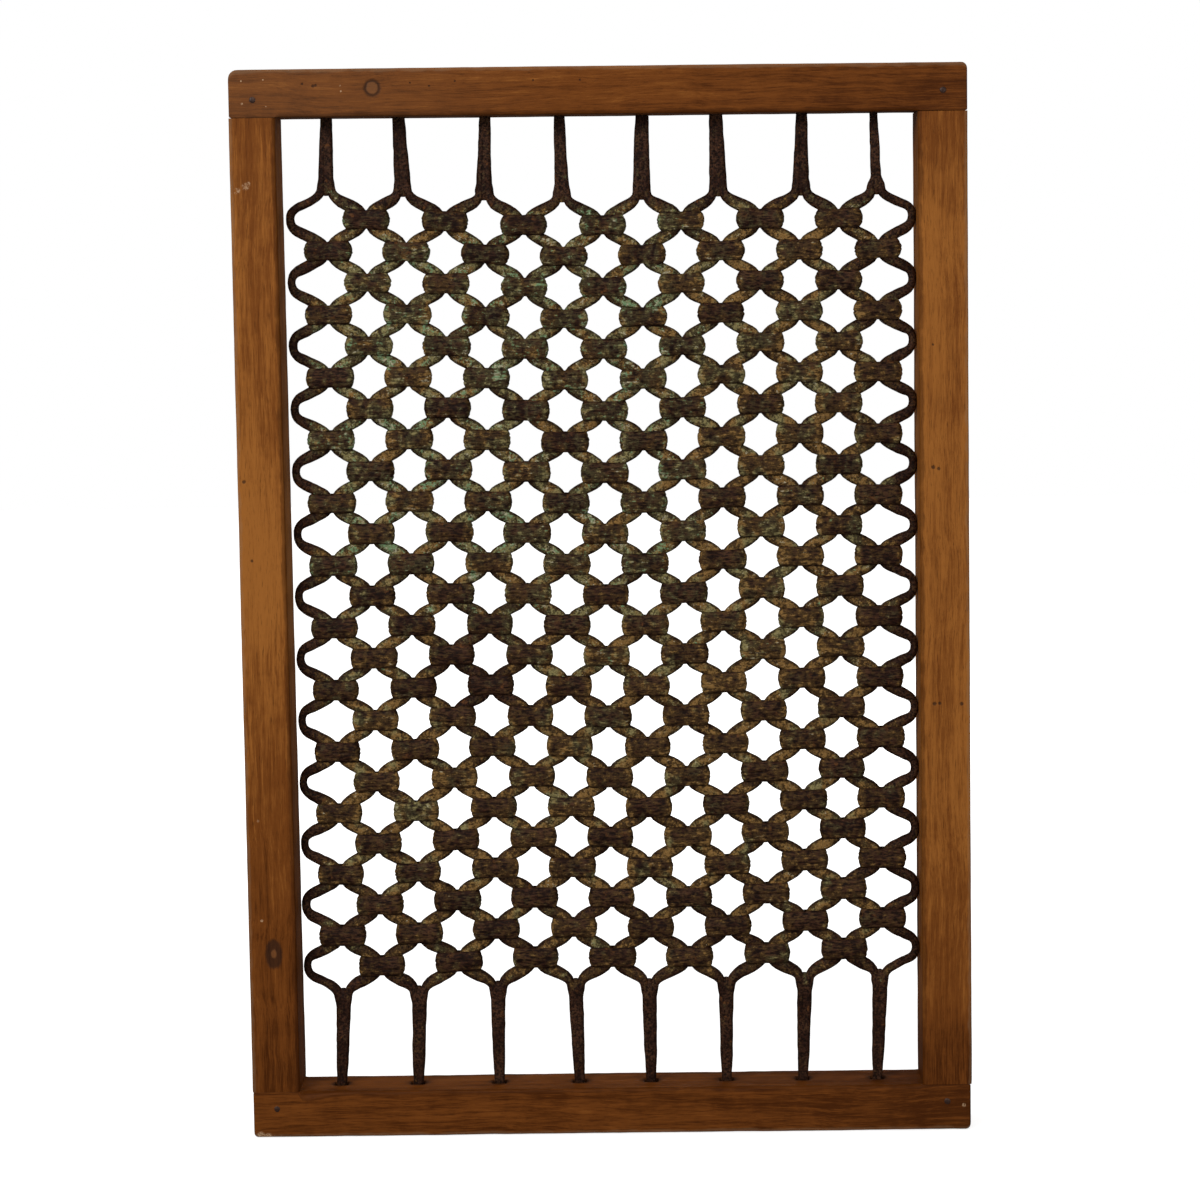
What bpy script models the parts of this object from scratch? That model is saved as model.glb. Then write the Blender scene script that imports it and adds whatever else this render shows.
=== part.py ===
"""Jali window: a forged iron grille of zigzag bars and collars in a pinned wooden frame.

Metres, +Z up, front towards -Y. The origin is the middle of the sill face, the underside of the
bottom rail, where the window stands in its wall opening.

The grille is a lattice of knees. A whole column is a stem, columns at the halves are the gaps
between stems, and rows count downwards. Each pair of bars is welded to one stem above the first
row and below the last one. In between its two bars swing apart to meet the neighbours in the even
rows, and back together in the odd rows. A collar grips the two knees wherever two bars meet.
"""

from math import atan2, pi, sin, tan

import bmesh
import bpy
from mathutils import Matrix, Vector

# wooden frame
FRAME_WIDTH = 0.610
FRAME_HEIGHT = 0.900
FRAME_DEPTH = 0.058
STILE_WIDTH = 0.040
RAIL_HEIGHT = 0.039
ARRIS_CHAMFER = 0.0016
CORNER_RADIUS = 0.005
CORNER_SEGMENTS = 2

# corner joints
TENON_WIDTH = 0.024
TENON_THICKNESS = 0.018
TENON_LENGTH = 0.029
PIN_DIAMETER = 0.006
PIN_LENGTH = 0.046
PIN_SINK = 0.0006
PIN_SIDES = 8

# grille layout
STEM_COUNT = 8
KNEE_ROWS = 25
LEFT_SIDE_GAP = 0.0027
RIGHT_SIDE_GAP = 0.0005
TOP_STEM_LENGTH = 0.064
BOTTOM_STEM_LENGTH = 0.0825

# drift of the hand-made lattice. A wave's turn is in radians per column, per row and at the start
ROW_TILT = 0.0012
ROW_FAN = 0.0029
ROW_SAG = 0.0024
ROW_WAVE = 0.0016
ROW_WAVE_TURN = (1.5, -0.1, 0.2)
COLUMN_WAVE = 0.0007
COLUMN_WAVE_TURN = (0.1, 0.25, 1.4)
STEM_LEAN = 0.0023
TOP_LEAN_TURN = (3.1, 0.0, 1.2)
BOTTOM_LEAN_TURN = (0.95, 0.0, -1.5)

# iron bars
BAR_WIDTH = 0.0096
BAR_DEPTH = 0.0096
KNEE_LENGTH = 0.0114
SIDE_LOOP_WIDTH = 0.0072
SIDE_LOOP_CHAMFER = 0.0028
WELD_WIDTH = 0.0166
STEM_WIDTH = 0.0126
STEM_SHOULDER = 0.009
FOOT_WIDTH = 0.0084
FOOT_DEPTH = 0.016

# iron collars
COLLAR_HEIGHT = 0.0152
COLLAR_WALL = 0.0022

# fits
CLEARANCE = 0.0003
WINDOW_SIDE_CLEARANCE = 0.0006
BAR_BEDDING = 0.0002
CUT_OVERSHOOT = 0.002
FLAT_WITHIN = 0.002
WELD_WITHIN = 0.00001
NEARLY_PARALLEL = 0.99

# places that follow from the sizes above
HALF_OPENING = FRAME_WIDTH / 2 - STILE_WIDTH
OPENING_TOP = FRAME_HEIGHT - RAIL_HEIGHT
GRILLE_LEFT = -HALF_OPENING + LEFT_SIDE_GAP
STEM_PITCH = (HALF_OPENING - RIGHT_SIDE_GAP - GRILLE_LEFT) / STEM_COUNT
TOP_WELD_ROW = -1
BOTTOM_WELD_ROW = KNEE_ROWS
TOP_WELD_HEIGHT = OPENING_TOP - TOP_STEM_LENGTH
BOTTOM_WELD_HEIGHT = RAIL_HEIGHT + BOTTOM_STEM_LENGTH
ROW_PITCH = (TOP_WELD_HEIGHT - BOTTOM_WELD_HEIGHT) / (BOTTOM_WELD_ROW - TOP_WELD_ROW)
MIDDLE_ROW = (TOP_WELD_ROW + BOTTOM_WELD_ROW) / 2
MIDDLE_COLUMN = (STEM_COUNT - 1) / 2

# a knee: the length that lies against the other bar, and the shorter hollow behind it
STRAND_SLOPE = atan2(ROW_PITCH - KNEE_LENGTH, STEM_PITCH / 2 - BAR_WIDTH)
KNEE_MITRE = BAR_WIDTH / 2 * tan((pi / 2 - STRAND_SLOPE) / 2)
HALF_CONTACT = KNEE_LENGTH / 2 + KNEE_MITRE
HALF_HOLLOW = KNEE_LENGTH / 2 - KNEE_MITRE
OWN_FACE = CLEARANCE / 2 + BAR_BEDDING
NEIGHBOUR_FACE = CLEARANCE / 2
COLLAR_DEPTH = BAR_DEPTH + 2 * (CLEARANCE + COLLAR_WALL)


def clear_scene():
    for scene_object in list(bpy.data.objects):
        bpy.data.objects.remove(scene_object, do_unlink=True)


def new_collection(name):
    collection = bpy.data.collections.new(name)
    bpy.context.scene.collection.children.link(collection)
    return collection


def new_material(name, colour, roughness, metallic):
    material = bpy.data.materials.new(name)
    material.use_nodes = True
    shader = material.node_tree.nodes["Principled BSDF"]
    shader.inputs["Base Color"].default_value = (*colour, 1.0)
    shader.inputs["Roughness"].default_value = roughness
    shader.inputs["Metallic"].default_value = metallic
    return material


def new_object(name, mesh, collection, material=None):
    made = bpy.data.objects.new(name, mesh)
    collection.objects.link(made)
    if material is not None:
        mesh.materials.append(material)
    return made


def add_box(bm, centre, size):
    place = Matrix.Translation(centre) @ Matrix.Diagonal((*size, 1.0))
    return bmesh.ops.create_cube(bm, size=1.0, matrix=place)["verts"]


def box_mesh(name, boxes):
    """One mesh of several boxes, each given by its centre and its size."""
    bm = bmesh.new()
    for centre, size in boxes:
        add_box(bm, centre, size)
    mesh = bpy.data.meshes.new(name)
    bm.to_mesh(mesh)
    bm.free()
    return mesh


def make_cutter(name, mesh, collection):
    cutter = new_object(name, mesh, collection)
    cutter.hide_render = True
    cutter.display_type = "WIRE"
    return cutter


def add_boolean(target, tool, operation):
    modifier = target.modifiers.new(tool.name, "BOOLEAN")
    modifier.operation = operation
    modifier.object = tool
    modifier.solver = "EXACT"
    return modifier


def merge_flat_faces(target):
    """Joins the triangles that lie in one plane, which the cuts leave behind."""
    modifier = target.modifiers.new("flat_faces", "DECIMATE")
    modifier.decimate_type = "DISSOLVE"
    modifier.angle_limit = FLAT_WITHIN


# wooden frame

def edges_along(bm, axis, keep):
    """Edges of a box that run along one axis and whose middle passes a test."""
    found = []
    for edge in bm.edges:
        run = edge.verts[1].co - edge.verts[0].co
        middle = (edge.verts[1].co + edge.verts[0].co) / 2
        if abs(run[axis]) > NEARLY_PARALLEL * run.length and keep(middle):
            found.append(edge)
    return found


def rail_mesh(name, bottom, outer_side):
    """A rail over the full width, its two outer corners worn round and its long arrises eased."""
    bm = bmesh.new()
    middle_height = bottom + RAIL_HEIGHT / 2
    size = (FRAME_WIDTH, FRAME_DEPTH, RAIL_HEIGHT)
    add_box(bm, Vector((0.0, 0.0, middle_height)), size)
    corners = edges_along(bm, 1, lambda middle: (middle.z - middle_height) * outer_side > 0)
    bmesh.ops.bevel(bm, geom=corners, offset=CORNER_RADIUS, segments=CORNER_SEGMENTS, profile=0.5,
                    affect="EDGES")
    arrises = edges_along(bm, 0, lambda middle: True)
    bmesh.ops.bevel(bm, geom=arrises, offset=ARRIS_CHAMFER, segments=1, affect="EDGES")
    mesh = bpy.data.meshes.new(name)
    bm.to_mesh(mesh)
    bm.free()
    return mesh


def stile_mesh(name, centre_x):
    """A stile between the rails, with its four long arrises eased."""
    bm = bmesh.new()
    height = OPENING_TOP - RAIL_HEIGHT - 2 * CLEARANCE
    size = (STILE_WIDTH, FRAME_DEPTH, height)
    add_box(bm, Vector((centre_x, 0.0, FRAME_HEIGHT / 2)), size)
    arrises = edges_along(bm, 2, lambda middle: True)
    bmesh.ops.bevel(bm, geom=arrises, offset=ARRIS_CHAMFER, segments=1, affect="EDGES")
    mesh = bpy.data.meshes.new(name)
    bm.to_mesh(mesh)
    bm.free()
    return mesh


def tenon_box(centre_x, shoulder, direction, slack):
    """A tenon's or a mortise's box, from the rail's inner face into the rail."""
    near = shoulder - direction * CUT_OVERSHOOT
    far = shoulder + direction * (TENON_LENGTH + slack)
    size = (TENON_WIDTH + 2 * slack, TENON_THICKNESS + 2 * slack, abs(far - near))
    return Vector((centre_x, 0.0, (near + far) / 2)), size


def pin_mesh(name, centre_x, height, slack):
    """A corner pin, or with slack the hole that it is driven into, from the front."""
    front = -FRAME_DEPTH / 2 + PIN_SINK
    back = front + PIN_LENGTH
    if slack > 0:
        front = -FRAME_DEPTH / 2 - CUT_OVERSHOOT
        back = back + slack
    bm = bmesh.new()
    radius = PIN_DIAMETER / 2 + slack
    place = Matrix.Translation((centre_x, (front + back) / 2, height))
    place = place @ Matrix.Rotation(pi / 2, 4, "X")
    bmesh.ops.create_cone(bm, cap_ends=True, segments=PIN_SIDES, radius1=radius, radius2=radius,
                          depth=back - front, matrix=place)
    mesh = bpy.data.meshes.new(name)
    bm.to_mesh(mesh)
    bm.free()
    return mesh


def build_frame(parts, cutters, wood, pin_iron):
    stile_centre = FRAME_WIDTH / 2 - STILE_WIDTH / 2
    rails = {
        "top": new_object("top_rail", rail_mesh("top_rail", OPENING_TOP, 1), parts, wood),
        "bottom": new_object("bottom_rail", rail_mesh("bottom_rail", 0.0, -1), parts, wood),
    }
    shoulders = {"top": (OPENING_TOP, 1), "bottom": (RAIL_HEIGHT, -1)}
    stile_sides = {"left": -stile_centre, "right": stile_centre}
    for side, centre_x in stile_sides.items():
        name = side + "_stile"
        stile = new_object(name, stile_mesh(name, centre_x), parts, wood)
        for end, (shoulder, direction) in shoulders.items():
            joint = end + "_" + side
            pin_height = shoulder + direction * TENON_LENGTH / 2
            tenon = make_cutter("tenon_" + joint, box_mesh(
                "tenon_" + joint, [tenon_box(centre_x, shoulder, direction, 0.0)]), cutters)
            mortise = make_cutter("mortise_" + joint, box_mesh(
                "mortise_" + joint, [tenon_box(centre_x, shoulder, direction, CLEARANCE)]), cutters)
            pin_hole = make_cutter("pin_hole_" + joint, pin_mesh(
                "pin_hole_" + joint, centre_x, pin_height, CLEARANCE), cutters)
            add_boolean(stile, tenon, "UNION")
            add_boolean(stile, pin_hole, "DIFFERENCE")
            add_boolean(rails[end], mortise, "DIFFERENCE")
            add_boolean(rails[end], pin_hole, "DIFFERENCE")
            new_object("pin_" + joint, pin_mesh("pin_" + joint, centre_x, pin_height, 0.0),
                       parts, pin_iron)
    for end, (shoulder, direction) in shoulders.items():
        sockets = make_cutter("sockets_" + end, box_mesh(
            "sockets_" + end, [socket_box(stem, shoulder, direction)
                               for stem in range(STEM_COUNT)]), cutters)
        add_boolean(rails[end], sockets, "DIFFERENCE")


# iron grille

def wave(turn, column, row):
    per_column, per_row, start = turn
    return sin(per_column * column + per_row * row + start)


def knee(column, row):
    """The place of a knee's middle in the X and Z plane."""
    across = (column - MIDDLE_COLUMN) / MIDDLE_COLUMN
    down = (row - MIDDLE_ROW) / (MIDDLE_ROW - TOP_WELD_ROW)
    x = GRILLE_LEFT + STEM_PITCH * (column + 0.5)
    at_side = column < 0 or column > STEM_COUNT - 1
    if not at_side:
        x += COLUMN_WAVE * wave(COLUMN_WAVE_TURN, column, row)
    z = TOP_WELD_HEIGHT - ROW_PITCH * (row - TOP_WELD_ROW)
    z += ROW_TILT * across + ROW_FAN * across * down + ROW_SAG * (1 - down) * across ** 2
    z += ROW_WAVE * wave(ROW_WAVE_TURN, column, row)
    return Vector((x, z))


def foot_x(stem, direction):
    """Where a stem's foot enters the top rail, direction 1, or the bottom rail, direction -1."""
    if direction > 0:
        return knee(stem, TOP_WELD_ROW).x + STEM_LEAN * wave(TOP_LEAN_TURN, stem, 0)
    return knee(stem, BOTTOM_WELD_ROW).x + STEM_LEAN * wave(BOTTOM_LEAN_TURN, stem, 0)


def socket_box(stem, shoulder, direction):
    near = shoulder - direction * CUT_OVERSHOOT
    far = shoulder + direction * (FOOT_DEPTH + CLEARANCE)
    size = (FOOT_WIDTH + 2 * CLEARANCE, BAR_DEPTH + 2 * CLEARANCE, abs(far - near))
    return Vector((foot_x(stem, direction), 0.0, (near + far) / 2)), size


def stem_side(stem, side, direction):
    """One side of a welded stem, from the end of its foot to its shoulder above the weld."""
    shoulder_z = OPENING_TOP if direction > 0 else RAIL_HEIGHT
    weld = knee(stem, TOP_WELD_ROW if direction > 0 else BOTTOM_WELD_ROW)
    x = foot_x(stem, direction) + side * FOOT_WIDTH / 2
    return [
        Vector((x, shoulder_z + direction * FOOT_DEPTH)),
        Vector((x, shoulder_z)),
        Vector((weld.x + side * STEM_WIDTH / 2, weld.y + direction * STEM_SHOULDER)),
    ]


def bar_outside(stem, side):
    """The outer side of one bar, from weld to weld. Side is 1 on the right and -1 on the left."""
    points = []
    column = stem + side / 2
    at_frame = column < 0 or column > STEM_COUNT - 1
    face = OWN_FACE if side > 0 else NEIGHBOUR_FACE
    for row in range(TOP_WELD_ROW, BOTTOM_WELD_ROW + 1):
        if (row - TOP_WELD_ROW) % 2 == 0:
            middle = knee(stem, row)
            x = middle.x + side * BAR_WIDTH
            heights = (HALF_HOLLOW, -HALF_HOLLOW)
            if row in (TOP_WELD_ROW, BOTTOM_WELD_ROW):
                x = middle.x + side * WELD_WIDTH / 2
                heights = heights[1:] if row == TOP_WELD_ROW else heights[:1]
            points += [Vector((x, middle.y + height)) for height in heights]
        elif at_frame:
            middle = knee(column, row)
            inset = side * SIDE_LOOP_CHAMFER
            points += [
                Vector((middle.x - inset, middle.y + HALF_CONTACT)),
                Vector((middle.x, middle.y + HALF_HOLLOW)),
                Vector((middle.x, middle.y - HALF_HOLLOW)),
                Vector((middle.x - inset, middle.y - HALF_CONTACT)),
            ]
        else:
            middle = knee(column, row)
            x = middle.x - side * face
            points += [Vector((x, middle.y + HALF_CONTACT)), Vector((x, middle.y - HALF_CONTACT))]
    return points


def pair_outline(stem):
    right = stem_side(stem, 1, 1) + bar_outside(stem, 1) + stem_side(stem, 1, -1)[::-1]
    left = stem_side(stem, -1, 1) + bar_outside(stem, -1) + stem_side(stem, -1, -1)[::-1]
    return right + left[::-1]


def pair_hole(stem, row):
    """The hole between a pair's own two bars, round an even row."""
    above = knee(stem, row - 1)
    below = knee(stem, row + 1)
    right = knee(stem + 0.5, row)
    left = knee(stem - 0.5, row)
    right_x = right.x - OWN_FACE - BAR_WIDTH
    left_x = left.x + NEIGHBOUR_FACE + BAR_WIDTH
    if stem == 0:
        left_x = left.x + SIDE_LOOP_WIDTH
    if stem == STEM_COUNT - 1:
        right_x = right.x - SIDE_LOOP_WIDTH
    return [
        Vector((above.x, above.y - HALF_CONTACT)),
        Vector((right_x, right.y + HALF_HOLLOW)),
        Vector((right_x, right.y - HALF_HOLLOW)),
        Vector((below.x, below.y + HALF_CONTACT)),
        Vector((left_x, left.y - HALF_HOLLOW)),
        Vector((left_x, left.y + HALF_HOLLOW)),
    ]


def add_loop(curve, points):
    spline = curve.splines.new("POLY")
    spline.points.add(len(points) - 1)
    for curve_point, place in zip(spline.points, points):
        curve_point.co = (place.x, place.y, 0.0, 1.0)
    spline.use_cyclic_u = True


def knee_reach(column, row):
    """How far from a knee's middle its bars stand at the collar's upper and lower face."""
    middle = knee(column, row)
    reaches = []
    for beside in (-0.5, 0.5):
        for beyond in (-1, 1):
            far = knee(column + beside, row + beyond)
            run = abs(far.x - middle.x) - BAR_WIDTH - NEIGHBOUR_FACE
            rise = abs(far.y - middle.y) - HALF_CONTACT - HALF_HOLLOW
            reaches.append(BAR_WIDTH + OWN_FACE + (COLLAR_HEIGHT / 2 - HALF_HOLLOW) * run / rise)
    return max(reaches)


def collar_box(column, row):
    middle = knee(column, row)
    half_width = knee_reach(column, row) + WINDOW_SIDE_CLEARANCE + COLLAR_WALL
    return Vector((middle.x, 0.0, middle.y)), (2 * half_width, COLLAR_DEPTH, COLLAR_HEIGHT)


def window_box(column, row):
    """The way for the right neighbour's bar through a collar between two pairs."""
    middle = knee(column, row)
    near = -CLEARANCE / 2
    far = knee_reach(column, row) + WINDOW_SIDE_CLEARANCE
    centre = Vector((middle.x + (near + far) / 2, 0.0, middle.y))
    height = COLLAR_HEIGHT + 2 * CUT_OVERSHOOT
    return centre, (far - near, BAR_DEPTH + 2 * CLEARANCE, height)


def mesh_from_curve(curve_object):
    """The closed mesh of a filled curve, in world space, with its caps welded on."""
    bpy.context.view_layer.update()
    evaluated = curve_object.evaluated_get(bpy.context.evaluated_depsgraph_get())
    mesh = bpy.data.meshes.new_from_object(evaluated)
    bm = bmesh.new()
    bm.from_mesh(mesh)
    bmesh.ops.remove_doubles(bm, verts=bm.verts, dist=WELD_WITHIN)
    bmesh.ops.transform(bm, matrix=curve_object.matrix_world, verts=bm.verts)
    bmesh.ops.recalc_face_normals(bm, faces=bm.faces)
    bm.to_mesh(mesh)
    bm.free()
    mesh.materials.clear()
    bpy.data.objects.remove(curve_object, do_unlink=True)
    return mesh


def build_pair(stem, parts, cutters, iron):
    """One pair of bars with its stems, its own collars and those that it shares to the right."""
    name = "bar_pair_" + str(stem + 1)
    even_rows = range(0, KNEE_ROWS, 2)
    odd_rows = range(1, KNEE_ROWS, 2)
    curve = bpy.data.curves.new(name, "CURVE")
    curve.dimensions = "2D"
    curve.fill_mode = "BOTH"
    curve.extrude = BAR_DEPTH / 2
    add_loop(curve, pair_outline(stem))
    for row in even_rows:
        add_loop(curve, pair_hole(stem, row))
    flat = new_object(name + "_outline", curve, cutters)
    flat.rotation_euler = (pi / 2, 0.0, 0.0)
    pair = new_object(name, mesh_from_curve(flat), parts, iron)

    collars = [collar_box(stem, row) for row in odd_rows]
    if stem < STEM_COUNT - 1:
        collars += [collar_box(stem + 0.5, row) for row in even_rows]
    collar_tool = make_cutter(name + "_collars", box_mesh(name + "_collars", collars), cutters)
    add_boolean(pair, collar_tool, "UNION")
    if stem < STEM_COUNT - 1:
        windows = [window_box(stem + 0.5, row) for row in even_rows]
        window_tool = make_cutter(name + "_windows", box_mesh(name + "_windows", windows), cutters)
        add_boolean(pair, window_tool, "DIFFERENCE")
    merge_flat_faces(pair)


def main():
    clear_scene()
    parts = new_collection("jali_window")
    cutters = new_collection("jali_window_cutters")
    wood = new_material("frame_wood", (0.20, 0.085, 0.030), 0.55, 0.0)
    iron = new_material("grille_iron", (0.045, 0.032, 0.022), 0.60, 0.7)
    pin_iron = new_material("pin_iron", (0.030, 0.028, 0.030), 0.55, 0.8)
    build_frame(parts, cutters, wood, pin_iron)
    for stem in range(STEM_COUNT):
        build_pair(stem, parts, cutters, iron)


main()
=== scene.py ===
"""Jali window, dressed: the forged grille, its collars and the worn wooden frame round the solids.

Metres, +Z up, front towards -Y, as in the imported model. The grille is a lattice of knees: whole
columns are the stems, columns at the halves are the gaps between them, and rows count downwards.
"""

from math import atan2, cos, pi, radians, sin

import bpy
import numpy as np
from bpy.props import FloatProperty, FloatVectorProperty, IntProperty, PointerProperty
from bpy.types import Operator, Panel, PropertyGroup
from mathutils import Matrix, Vector, noise


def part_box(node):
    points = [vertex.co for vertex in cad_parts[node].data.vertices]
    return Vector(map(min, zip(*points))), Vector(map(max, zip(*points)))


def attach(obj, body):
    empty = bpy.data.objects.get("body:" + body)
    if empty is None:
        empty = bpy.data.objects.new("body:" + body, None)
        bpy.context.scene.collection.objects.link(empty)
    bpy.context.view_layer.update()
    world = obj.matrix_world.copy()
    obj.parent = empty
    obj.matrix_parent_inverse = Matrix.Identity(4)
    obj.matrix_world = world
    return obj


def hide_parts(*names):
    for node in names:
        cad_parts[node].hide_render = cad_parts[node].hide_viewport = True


bl_info = {
    "name": "Jali window",
    "version": (1, 0, 0),
    "blender": (4, 5, 0),
    "location": "3D View > Sidebar > Jali window",
    "description": "Builds a forged iron jali grille in a worn wooden frame, and its studio",
    "category": "Object",
}

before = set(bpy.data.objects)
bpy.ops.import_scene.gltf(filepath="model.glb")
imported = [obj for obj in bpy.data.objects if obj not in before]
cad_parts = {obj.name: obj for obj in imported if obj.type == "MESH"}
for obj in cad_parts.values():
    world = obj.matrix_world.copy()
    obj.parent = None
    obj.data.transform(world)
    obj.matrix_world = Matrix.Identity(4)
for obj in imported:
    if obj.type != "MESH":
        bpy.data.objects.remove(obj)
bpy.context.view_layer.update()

# places taken from the solids
MEMBERS = {name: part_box(name) for name in ("top_rail", "bottom_rail", "left_stile", "right_stile")}
TOP_RAIL = MEMBERS["top_rail"]
FRONT = TOP_RAIL[0].y
BACK = TOP_RAIL[1].y
OPENING_TOP = TOP_RAIL[0].z
OPENING_BOTTOM = MEMBERS["bottom_rail"][1].z
HALF_OPENING = MEMBERS["right_stile"][0].x

# the two ends of the grille, each with the way from its welds to its rail
TOP = 1
BOTTOM = -1

# grille layout, as in the solids
STEM_COUNT = 8
KNEE_ROWS = 25
LEFT_SIDE_GAP = 0.0027
RIGHT_SIDE_GAP = 0.0005
TOP_STEM_LENGTH = 0.064
BOTTOM_STEM_LENGTH = 0.0825
TOP_WELD_ROW = -1
BOTTOM_WELD_ROW = KNEE_ROWS
WELD_ROW = {TOP: TOP_WELD_ROW, BOTTOM: BOTTOM_WELD_ROW}
TOP_WELD_HEIGHT = OPENING_TOP - TOP_STEM_LENGTH
BOTTOM_WELD_HEIGHT = OPENING_BOTTOM + BOTTOM_STEM_LENGTH
ROW_PITCH = (TOP_WELD_HEIGHT - BOTTOM_WELD_HEIGHT) / (BOTTOM_WELD_ROW - TOP_WELD_ROW)
GRILLE_LEFT = -HALF_OPENING + LEFT_SIDE_GAP
STEM_PITCH = (HALF_OPENING - RIGHT_SIDE_GAP - GRILLE_LEFT) / STEM_COUNT
MIDDLE_ROW = (TOP_WELD_ROW + BOTTOM_WELD_ROW) / 2
MIDDLE_COLUMN = (STEM_COUNT - 1) / 2

# drift of the hand-made lattice, as in the solids
ROW_TILT = 0.0012
ROW_FAN = 0.0029
ROW_SAG = 0.0024
ROW_WAVE = 0.0016
ROW_WAVE_TURN = (1.5, -0.1, 0.2)
COLUMN_WAVE = 0.0007
COLUMN_WAVE_TURN = (0.1, 0.25, 1.4)
STEM_LEAN = 0.0023
LEAN_TURN = {TOP: (3.1, 0.0, 1.2), BOTTOM: (0.95, 0.0, -1.5)}

# how the photographed lattice sits in the solids: a little to the right, its end rows lower
LATTICE_SHIFT = 0.0006
ROW_SETTLING = 0.0009

# how far each stem strays from its even place at its foot and at its weld, read off the photograph
FOOT_STRAY = {
    TOP: (0.0, -0.0020, 0.0010, 0.0005, 0.0002, -0.0010, 0.0016, -0.0016),
    BOTTOM: (-0.0010, -0.0021, 0.0, 0.0017, -0.0025, -0.0017, -0.0007, -0.0027),
}
WELD_STRAY = {
    TOP: (0.0006, -0.0015, 0.0010, 0.0, 0.0008, -0.0012, 0.0022, -0.0010),
    BOTTOM: (0.0, -0.0009, 0.0006, 0.0016, -0.0014, -0.0016, -0.0004, -0.0018),
}
# how thick each stem is at the top, as a share of the usual
TOP_GIRTH = (1.0, 1.06, 0.98, 0.94, 1.16, 1.16, 1.0, 0.70)

# bends of the bars
KNEE_HALF = 0.0052
KNEE_SWELL = 1.13
KNEE_STRAIGHTS = {"weld": 0.0, "collar": 0.0026, "loop": 0.0}
KNEE_HANDLES = {"weld": 0.0068, "collar": 0.0038, "loop": 0.0088}
STRAND_HANDLE = 0.0070
STRAND_SLOPE = radians(25)
LOOP_SLOPE = radians(27)
LOOP_HALF_WIDTH = 0.0034
SOCKET_DEPTH = 0.010

# a stem: half widths of its outline at the foot, half way, above the weld and at the weld
TOP_FOOT_HALF = 0.0044
BOTTOM_FOOT_HALF = 0.0038
STEM_MIDDLE_HALF = 0.0054
STEM_SHOULDER_HALF = 0.0062
STEM_WELD_HALF = 0.0077
STEM_SHOULDER = 0.009
# the welded middle of a stem is a little narrower, and runs out between the two bars
WELD_FACE_HALF = STEM_WELD_HALF * 0.96
FORK_HALF = 0.0016
FORK_LENGTH = 0.0078

# how much paint is left on a stem, from its foot to its weld, and on a strand's middle; along a
# strand the cover also sets its painted shade
STEM_COVER = (0.0, 0.3, 0.5, 0.6)
WELD_COVER = STEM_COVER[-1]
STRAND_COVER = 0.7

# points along a stem's bar, a stem's welded middle, half a strand and half a side loop
STEM_STEPS = (9, 8, 4)
WELD_STEPS = (8, 8, 5, 8)
STRAND_STEPS = 5
LOOP_STEPS = 8

# the random draws of each pair start from this; a bar has some draws for strands past its ends
SEED = 20
STRAND_DRAWS = KNEE_ROWS + 12
STRANDS_ABOVE = 4


def length_prop(name, description, default, least=0.0):
    return FloatProperty(name=name, description=description, default=default, min=least,
                         unit="LENGTH")


def colour_prop(name, description, *default):
    return FloatVectorProperty(name=name, description=description, default=default,
                               subtype="COLOR")


class FrameSizes(PropertyGroup):
    """Sizes of the wooden frame's wear."""
    arris: length_prop("Worn arris", "Radius of the frame's long rounded edges", 0.0019, 0.0003)
    waviness: length_prop("Waviness", "How far the planed faces run out of true", 0.00022)
    corner: length_prop(
        "Corner wear", "Radius of the frame's four outer corners, before wear", 0.0050, 0.001)


class GrilleSizes(PropertyGroup):
    """Sizes of the bars and collars."""
    bar_width: length_prop("Bar width", "Width of a bar with its scale and old paint", 0.0108)
    bar_depth: length_prop("Bar depth", "Depth of a square bar, front to back", 0.0097)
    squareness: FloatProperty(
        name="Squareness", description="2 is a round bar, and higher values are squarer",
        default=2.9, min=2.0, max=12.0)
    bar_sides: IntProperty(
        name="Bar sides", description="Points round a bar's section", default=14, min=8)
    hammering: length_prop("Hammering", "Depth of the hammer marks", 0.00042)
    collar_length: length_prop(
        "Collar length", "From one rounded end of a collar to the other", 0.0402)
    collar_height: length_prop(
        "Collar height", "Width of the strip that a collar is made of", 0.0172)
    collar_depth: length_prop("Collar depth", "Front to back of a collar", 0.0150)
    collar_wall: length_prop("Collar wall", "Thickness of the strip", 0.0024)
    collar_bulge: length_prop(
        "Collar bulge", "How far a collar's edges fall back behind its middle", 0.0019)
    collar_end: length_prop(
        "Collar end", "How much more the edges fall back at its two ends", 0.0006)
    groove: length_prop("Groove", "Depth of the grooves along a collar", 0.0009)


class WoodColours(PropertyGroup):
    """Colours of the frame."""
    dark: colour_prop(
        "Dark wood", "The frame's foot and its shaded streaks", 0.062, 0.0150, 0.0010)
    middle: colour_prop("Brown wood", "Most of the frame", 0.155, 0.0445, 0.0060)
    light: colour_prop(
        "Golden wood", "The lighter streaks of the stiles", 0.310, 0.111, 0.0200)
    plug: colour_prop("Plug", "The round plug in the top rail", 0.17, 0.074, 0.029)
    pale: colour_prop("Bare wood", "Chips, scrapes and filled nail holes", 0.50, 0.33, 0.19)
    stain: colour_prop("Stain", "Nail holes and the dirt round the iron", 0.014, 0.008, 0.006)


class IronColours(PropertyGroup):
    """Colours of the grille and the pins."""
    bare: colour_prop("Bare iron", "Dark rubbed iron", 0.0350, 0.0120, 0.0060)
    brown: colour_prop("Brown iron", "Iron with a skin of brown oxide", 0.072, 0.0300, 0.0150)
    rust: colour_prop("Rust", "Orange spots", 0.150, 0.055, 0.0150)
    olive: colour_prop("Olive paint", "Most of the old paint", 0.266, 0.222, 0.0920)
    ochre: colour_prop("Ochre paint", "The warmer old paint", 0.268, 0.148, 0.0460)
    green: colour_prop("Green paint", "The patches of green", 0.160, 0.280, 0.1450)
    cream: colour_prop("Cream flecks", "The palest flakes of paint", 0.43, 0.39, 0.27)


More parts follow.
